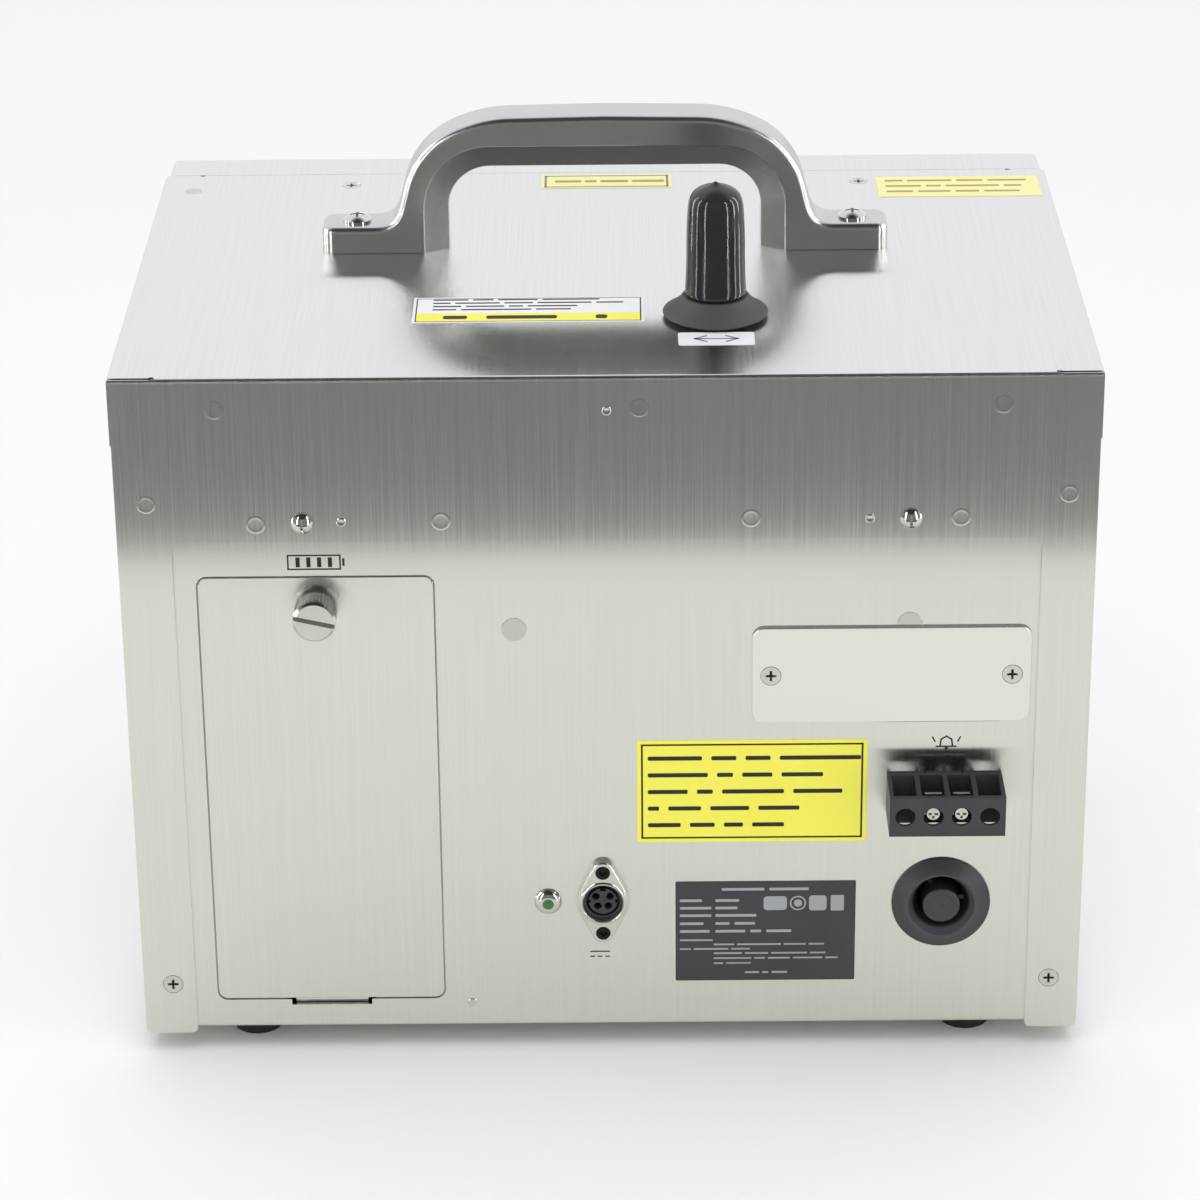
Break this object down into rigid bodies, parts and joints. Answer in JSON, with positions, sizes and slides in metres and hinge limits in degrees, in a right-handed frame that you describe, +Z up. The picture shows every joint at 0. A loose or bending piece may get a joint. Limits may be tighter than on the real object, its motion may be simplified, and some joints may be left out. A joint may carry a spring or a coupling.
{
  "type": "airborne particle counter",
  "caption": "Portable airborne particle counter in a brushed stainless case with a carrying handle, capped inlet, battery door and rear sockets.",
  "frame": {"origin": "centre of the bounding box at the floor, under the feet", "axes": "+Z up, rear panel with the battery door and sockets towards -Y, display side towards +Y, +X to the right as seen from the rear"},
  "size_m": [0.3, 0.2266, 0.2776],
  "materials": {
    "stainless": "fine straight brush",
    "polished_steel": "polished",
    "bright_steel": "bright",
    "black_steel": "black oxide",
    "black_plastic": "satin black",
    "gloss_black": "dip moulded, glossy",
    "grey_rubber": "dull dark grey",
    "black_rubber": "dull black",
    "gilt_brass": "gilt",
    "green_lens": "clear green",
    "dark_glass": "smoked display window",
    "module_grey": "light grey moulding",
    "machined_aluminium": "machined",
    "motor_paint": "dark paint",
    "board_green": "circuit board"
  },
  "bodies": {
    "case": {"battery_bay": "stainless", "battery_pack": "black_plastic", "board_posts": "machined_aluminium", "detector_board": "board_green", "display_lens": "dark_glass", "display_module": "module_grey", "door_catch": "stainless", "exhaust_filter": "module_grey", "exhaust_hose": "black_rubber", "exhaust_port": "black_plastic", "filter_saddle": "stainless", "flat_screws": "bright_steel", "foot_front_left": "black_rubber", "foot_front_right": "black_rubber", "foot_rear_left": "black_rubber", "foot_rear_right": "black_rubber", "foot_screws": "bright_steel", "front_panel": "stainless", "front_rail": "stainless", "handle": "polished_steel", "handle_nut_plates": "stainless", "handle_screws": "bright_steel", "indicator_bezel": "bright_steel", "indicator_lens": "green_lens", "inlet_flange": "grey_rubber", "inlet_tube": "polished_steel", "laser_unit": "machined_aluminium", "light_trap": "machined_aluminium", "main_board": "board_green", "option_plate": "stainless", "power_board": "board_green", "power_switch": "black_plastic", "pump_head": "machined_aluminium", "pump_motor": "motor_paint", "pump_mounts": "grey_rubber", "rear_screws": "bright_steel", "sample_hose": "black_rubber", "sensor_block": "machined_aluminium", "sensor_nipple": "machined_aluminium", "sensor_shelf": "stainless", "side_panel_left": "stainless", "side_panel_right": "stainless", "socket_contacts": "gilt_brass", "socket_flange": "polished_steel", "socket_insert": "black_plastic", "socket_screws": "black_steel", "terminal_block": "black_plastic", "terminal_board": "board_green", "terminal_contacts": "bright_steel", "top_cover": "stainless", "tray": "stainless"},
    "battery_door": {"battery_door": "stainless"},
    "screw_clip": {"screw_clip": "bright_steel"},
    "thumb_screw": {"thumb_screw": "bright_steel"},
    "inlet_cap": {"inlet_cap": "gloss_black"},
    "power_button": {"power_button": "black_plastic"},
    "terminal_screw_left": {"terminal_screw_left": "bright_steel"},
    "terminal_screw_right": {"terminal_screw_right": "bright_steel"},
    "terminal_clamp_left": {"terminal_clamp_left": "bright_steel"},
    "terminal_clamp_right": {"terminal_clamp_right": "bright_steel"}
  },
  "joints": [
    {"name": "door_tilt", "type": "hinge", "parent": "case", "child": "battery_door", "pos_m": [-0.0895, -0.09605, 0.0185], "axis": [1, 0, 0], "range_deg": [0, 60]},
    {"name": "screw_advance", "type": "slide", "parent": "battery_door", "child": "screw_clip", "axis": [0, -1, 0], "range_m": [0, 0.0021]},
    {"name": "thumb_turn", "type": "hinge", "parent": "screw_clip", "child": "thumb_screw", "pos_m": [-0.0895, -0.09605, 0.1559], "axis": [0, -1, 0], "range_deg": [0, 1080]},
    {"name": "cap_pull", "type": "slide", "parent": "case", "child": "inlet_cap", "axis": [0, 0, 1], "range_m": [0, 0.035]},
    {"name": "power_press", "type": "slide", "parent": "case", "child": "power_button", "axis": [0, -1, 0], "range_m": [0, 0.0012], "stiffness_N_per_m": 300},
    {"name": "terminal_turn_left", "type": "hinge", "parent": "case", "child": "terminal_screw_left", "pos_m": [0.10063, -0.11325, 0.0913], "axis": [0, -1, 0], "range_deg": [0, 720]},
    {"name": "clamp_slide_left", "type": "slide", "parent": "case", "child": "terminal_clamp_left", "axis": [0, 1, 0], "range_m": [0, 0.001]},
    {"name": "terminal_turn_right", "type": "hinge", "parent": "case", "child": "terminal_screw_right", "pos_m": [0.10938, -0.11325, 0.0913], "axis": [0, -1, 0], "range_deg": [0, 720]},
    {"name": "clamp_slide_right", "type": "slide", "parent": "case", "child": "terminal_clamp_right", "axis": [0, 1, 0], "range_m": [0, 0.001]}
  ],
  "couplings": [
    {"joint": "screw_advance", "follows": "thumb_turn", "m_per_rad": 0.0001114},
    {"joint": "terminal_turn_left", "follows": "clamp_slide_left", "rad_per_m": 12566},
    {"joint": "terminal_turn_right", "follows": "clamp_slide_right", "rad_per_m": 12566}
  ]
}
